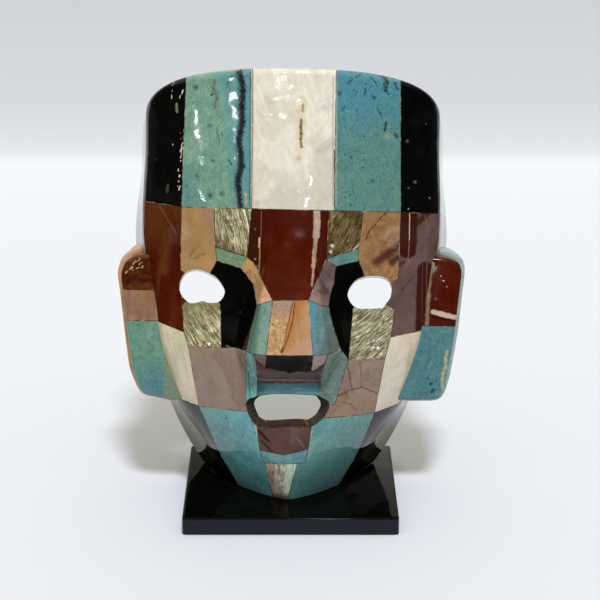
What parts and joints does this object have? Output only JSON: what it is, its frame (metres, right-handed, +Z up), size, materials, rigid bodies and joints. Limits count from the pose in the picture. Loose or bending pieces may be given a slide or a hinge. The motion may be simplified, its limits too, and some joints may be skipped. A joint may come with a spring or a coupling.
{
  "type": "stone mask",
  "caption": "Hollow mosaic mask with open eyes and mouth, glued up from polished slabs, leaning back a little on a square plinth.",
  "frame": {"origin": "centre of the plinth's underside", "axes": "+Z up, -Y the way the face looks, +X to the viewer's right"},
  "size_m": [0.1578, 0.095, 0.1991],
  "materials": {
    "black_stone": "polished",
    "teal_stone": "polished",
    "blue_teal_stone": "polished",
    "white_stone": "polished",
    "red_stone": "polished",
    "tan_stone": "polished",
    "mauve_stone": "polished",
    "pearl_stone": "polished",
    "salmon_stone": "polished"
  },
  "bodies": {
    "root": {"plinth": "black_stone", "forehead_black_left": "black_stone", "forehead_teal_left": "teal_stone", "forehead_white": "white_stone", "forehead_blue_right": "blue_teal_stone", "forehead_black_right": "black_stone", "temple_red_left": "red_stone", "brow_tan_left": "tan_stone", "brow_pearl_left": "pearl_stone", "brow_red_centre": "red_stone", "brow_pearl_right": "pearl_stone", "brow_tan_right": "tan_stone", "temple_mauve_right": "mauve_stone", "brow_slip_teal_left": "teal_stone", "brow_slip_teal_right": "teal_stone", "bridge_tan_left": "tan_stone", "bridge_mauve_right": "mauve_stone", "eye_black_left": "black_stone", "eye_black_right": "black_stone", "cheekbone_pearl_left": "pearl_stone", "cheekbone_pearl_right": "pearl_stone", "nose_wing_left": "teal_stone", "nose_ridge_left": "tan_stone", "nose_ridge_right": "tan_stone", "nose_wing_right": "blue_teal_stone", "nose_under_left": "salmon_stone", "nose_under_centre": "black_stone", "nose_under_right": "mauve_stone", "upper_lip_mauve": "mauve_stone", "upper_lip_blue": "blue_teal_stone", "mouth_strip_left": "teal_stone", "mouth_strip_right": "teal_stone", "cheek_mauve_left": "mauve_stone", "cheek_mauve_right": "mauve_stone", "cheek_white_left": "white_stone", "cheek_white_right": "white_stone", "lower_lip": "mauve_stone", "lip_slip_teal": "teal_stone", "chin_wedge_pearl": "pearl_stone", "chin_teal_left": "teal_stone", "chin_teal_right": "teal_stone", "jaw_black_left": "black_stone", "jaw_black_right": "black_stone", "rear_ear_left": "mauve_stone", "rear_temple_left": "mauve_stone", "rear_crown_left": "teal_stone", "rear_crown_centre": "white_stone", "rear_crown_right": "teal_stone", "rear_temple_right": "mauve_stone", "rear_ear_right": "mauve_stone", "ear_teal_left": "teal_stone", "ear_tan_left": "tan_stone", "ear_red_left": "red_stone", "ear_rear_left": "salmon_stone", "ear_teal_right": "blue_teal_stone", "ear_red_right": "red_stone", "ear_rear_right": "teal_stone"}
  },
  "joints": []
}
